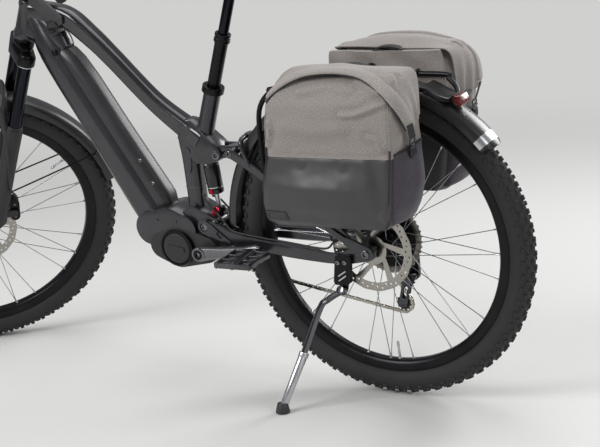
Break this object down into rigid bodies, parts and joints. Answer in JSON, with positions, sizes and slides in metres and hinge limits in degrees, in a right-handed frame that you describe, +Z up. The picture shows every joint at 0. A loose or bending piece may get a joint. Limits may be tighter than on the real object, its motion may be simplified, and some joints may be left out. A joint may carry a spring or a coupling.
{
  "type": "electric mountain bike",
  "caption": "Full-suspension electric mountain bike on its side stand, with full fenders, rear rack and roll-top panniers.",
  "frame": {"origin": "centre of the bounding box on the ground plane, under the bike", "axes": "+X towards the bike's rear, -Y its left side where the stand is, +Z up; the bike leans on its stand"},
  "size_m": [1.8546, 0.6105, 1.2409],
  "materials": {
    "frame_paint": "satin dark grey paint",
    "battery_cover": "satin warm dark grey plastic",
    "black_metal": "black anodised",
    "bare_alloy": "dark brushed alloy",
    "steel": "bright steel",
    "black_plastic": "matte black",
    "tyre_rubber": "matte knobbly rubber",
    "grip_rubber": "matte rubber",
    "saddle_cover": "matte black cover",
    "bag_cloth": "grey-beige melange cloth over dark coated cloth",
    "red_lens": "red lens",
    "red_alloy": "red anodised"
  },
  "bodies": {
    "frame": {"main_frame": "frame_paint", "motor_unit": "black_metal", "motor_cover": "battery_cover", "seat_clamp": "black_metal", "seatpost_outer": "black_metal"},
    "battery": {"battery": "battery_cover"},
    "charge_cap": {"charge_port_cap": "black_plastic"},
    "key_lock": {"battery_lock": "bare_alloy"},
    "seatpost": {"seatpost_inner": "black_metal", "saddle": "saddle_cover"},
    "steering": {"fork_upper": "black_metal", "stem": "black_metal", "handlebar": "black_metal", "grip_left": "grip_rubber", "grip_right": "grip_rubber", "brake_body_left": "black_metal", "brake_body_right": "black_metal", "assist_remote": "black_plastic", "headlight": "black_plastic", "front_brake_hose": "black_plastic", "bar_hoses": "black_plastic"},
    "fork_slide": {"fork_lower": "black_metal", "front_axle": "black_metal", "front_caliper": "black_metal", "front_fender": "black_plastic"},
    "front_wheel": {"front_tyre": "tyre_rubber", "front_rim": "black_metal", "front_hub": "black_metal", "front_rotor": "steel"},
    "brake_lever_left": {"brake_lever_left": "bare_alloy"},
    "brake_lever_right": {"brake_lever_right": "bare_alloy"},
    "dropper_lever": {"dropper_lever": "black_metal"},
    "shift_lever": {"shift_lever": "black_metal"},
    "chainstay": {"chainstay": "frame_paint", "rear_axle": "black_metal", "derailleur": "black_metal", "stand_bracket": "black_metal", "chain": "steel", "rear_hoses": "black_plastic"},
    "seatstay": {"seatstay": "frame_paint", "rear_fender": "black_plastic", "rack": "black_metal", "tail_light": "red_lens", "rear_caliper": "black_metal"},
    "rocker": {"rocker_link": "frame_paint"},
    "shock": {"shock_shaft": "steel"},
    "shock_can": {"shock_body": "black_metal"},
    "shock_knob": {"shock_knob": "red_alloy"},
    "rear_wheel": {"rear_tyre": "tyre_rubber", "rear_rim": "black_metal", "rear_hub": "black_metal", "rear_rotor": "steel", "cassette": "bare_alloy"},
    "derailleur_cage": {"derailleur_cage": "black_metal"},
    "stand": {"stand_leg": "bare_alloy"},
    "crank": {"crankset": "bare_alloy"},
    "pedal_left": {"pedal_left": "bare_alloy"},
    "pedal_right": {"pedal_right": "bare_alloy"},
    "pannier_left": {"pannier_left": "bag_cloth"},
    "pannier_right": {"pannier_right": "bag_cloth"}
  },
  "joints": [
    {"name": "battery_lift", "type": "slide", "parent": "frame", "child": "battery", "axis": [0.863, -0.0558, 0.5022], "range_m": [0, 0.012]},
    {"name": "charge_cap_hinge", "type": "hinge", "parent": "frame", "child": "charge_cap", "pos_m": [-0.28017, -0.04047, 0.85004], "axis": [0.9999, -0.0012, 0.0106], "range_deg": [0, 85]},
    {"name": "key_lock_turn", "type": "hinge", "parent": "frame", "child": "key_lock", "pos_m": [-0.28419, -0.00551, 0.8089], "axis": [0, -0.9939, -0.1104], "range_deg": [0, 90]},
    {"name": "seatpost_drop", "type": "slide", "parent": "frame", "child": "seatpost", "axis": [0.3402, -0.1038, 0.9346], "range_m": [-0.12, 0]},
    {"name": "steering_turn", "type": "hinge", "parent": "frame", "child": "steering", "pos_m": [-0.61631, 0.04665, 0.33947], "axis": [0.3923, -0.1016, 0.9142], "range_deg": [-107, 13]},
    {"name": "fork_travel", "type": "slide", "parent": "steering", "child": "fork_slide", "axis": [0.3923, -0.1016, 0.9142], "range_m": [0, 0.09], "stiffness_N_per_m": 8000, "springref_m": -0.03, "deforming": ["front_brake_hose"]},
    {"name": "front_wheel_spin", "type": "hinge", "parent": "fork_slide", "child": "front_wheel", "pos_m": [-0.64285, 0.01493, 0.34733], "axis": [-0.6698, 0.6497, 0.3596], "continuous": true},
    {"name": "brake_lever_left_pull", "type": "hinge", "parent": "steering", "child": "brake_lever_left", "pos_m": [-0.20534, -0.20524, 0.96206], "axis": [0.3923, -0.1016, 0.9142], "range_deg": [0, 9], "stiffness_Nm_per_rad": 2, "springref_deg": -17.19},
    {"name": "brake_lever_right_pull", "type": "hinge", "parent": "steering", "child": "brake_lever_right", "pos_m": [-0.49333, 0.07413, 1.1167], "axis": [-0.3923, 0.1016, -0.9142], "range_deg": [0, 9], "stiffness_Nm_per_rad": 2, "springref_deg": -17.19},
    {"name": "dropper_lever_push", "type": "hinge", "parent": "steering", "child": "dropper_lever", "pos_m": [-0.22208, -0.18899, 0.97105], "axis": [-0.3923, 0.1016, -0.9142], "range_deg": [0, 20], "stiffness_Nm_per_rad": 0.6, "springref_deg": -22.92},
    {"name": "shift_lever_push", "type": "hinge", "parent": "steering", "child": "shift_lever", "pos_m": [-0.47659, 0.05789, 1.10771], "axis": [0.3923, -0.1016, 0.9142], "range_deg": [0, 20], "stiffness_Nm_per_rad": 0.6, "springref_deg": -22.92},
    {"name": "rear_suspension", "type": "hinge", "parent": "frame", "child": "chainstay", "pos_m": [0.09435, 0.04105, 0.38985], "axis": [0, -0.9939, -0.1104], "range_deg": [0, 8], "stiffness_Nm_per_rad": 1500, "springref_deg": -5.73, "deforming": ["rear_hoses", "chain"]},
    {"name": "seatstay_pivot", "type": "hinge", "parent": "chainstay", "child": "seatstay", "pos_m": [0.5563, 0.0434, 0.3687], "axis": [0, -0.9939, -0.1104], "range_deg": [-2.8, 0]},
    {"name": "rocker_turn", "type": "hinge", "parent": "frame", "child": "rocker", "pos_m": [0.14649, 0.02177, 0.56335], "axis": [0, -0.9939, -0.1104], "range_deg": [0, 43]},
    {"name": "shock_swing", "type": "hinge", "parent": "frame", "child": "shock", "pos_m": [0.12028, 0.04036, 0.39609], "axis": [0, -0.9939, -0.1104], "range_deg": [0, 0.6]},
    {"name": "shock_stroke", "type": "slide", "parent": "shock", "child": "shock_can", "axis": [-0.0771, -0.1101, 0.9909], "range_m": [-0.0306, 0]},
    {"name": "shock_knob_turn", "type": "hinge", "parent": "shock", "child": "shock_knob", "pos_m": [0.11831, 0.03755, 0.42136], "axis": [0, -0.9939, -0.1104], "range_deg": [0, 180]},
    {"name": "rear_wheel_spin", "type": "hinge", "parent": "chainstay", "child": "rear_wheel", "pos_m": [0.5563, 0.0434, 0.3687], "axis": [0, 0.9939, 0.1104], "continuous": true},
    {"name": "derailleur_cage_swing", "type": "hinge", "parent": "chainstay", "child": "derailleur_cage", "pos_m": [0.58178, 0.1053, 0.26436], "axis": [0, -0.9939, -0.1104], "range_deg": [0, 25], "stiffness_Nm_per_rad": 1, "springref_deg": -28.65, "deforming": ["chain"]},
    {"name": "stand_fold", "type": "hinge", "parent": "chainstay", "child": "stand", "pos_m": [0.48459, -0.03373, 0.26599], "axis": [-0.2007, -0.8768, 0.4369], "range_deg": [0, 117], "stiffness_Nm_per_rad": 1, "springref_deg": -57.3},
    {"name": "crank_spin", "type": "hinge", "parent": "frame", "child": "crank", "pos_m": [0.09548, 0.04756, 0.33122], "axis": [0, 0.9939, 0.1104], "continuous": true},
    {"name": "pedal_left_spin", "type": "hinge", "parent": "crank", "child": "pedal_left", "pos_m": [0.25921, 0.04531, 0.35152], "axis": [0, 0.9939, 0.1104], "continuous": true},
    {"name": "pedal_right_spin", "type": "hinge", "parent": "crank", "child": "pedal_right", "pos_m": [-0.06826, 0.04982, 0.31092], "axis": [0, 0.9939, 0.1104], "continuous": true},
    {"name": "pannier_left_lift", "type": "slide", "parent": "seatstay", "child": "pannier_left", "axis": [-0.0106, -0.1104, 0.9938], "range_m": [0, 0.05]},
    {"name": "pannier_right_lift", "type": "slide", "parent": "seatstay", "child": "pannier_right", "axis": [-0.0106, -0.1104, 0.9938], "range_m": [0, 0.05]}
  ],
  "couplings": [
    {"joint": "seatstay_pivot", "follows": "rear_suspension", "ratio": -0.345},
    {"joint": "rocker_turn", "follows": "rear_suspension", "ratio": 5.35},
    {"joint": "shock_swing", "follows": "rear_suspension", "ratio": 0.07},
    {"joint": "shock_stroke", "follows": "rear_suspension", "m_per_rad": -0.218}
  ]
}
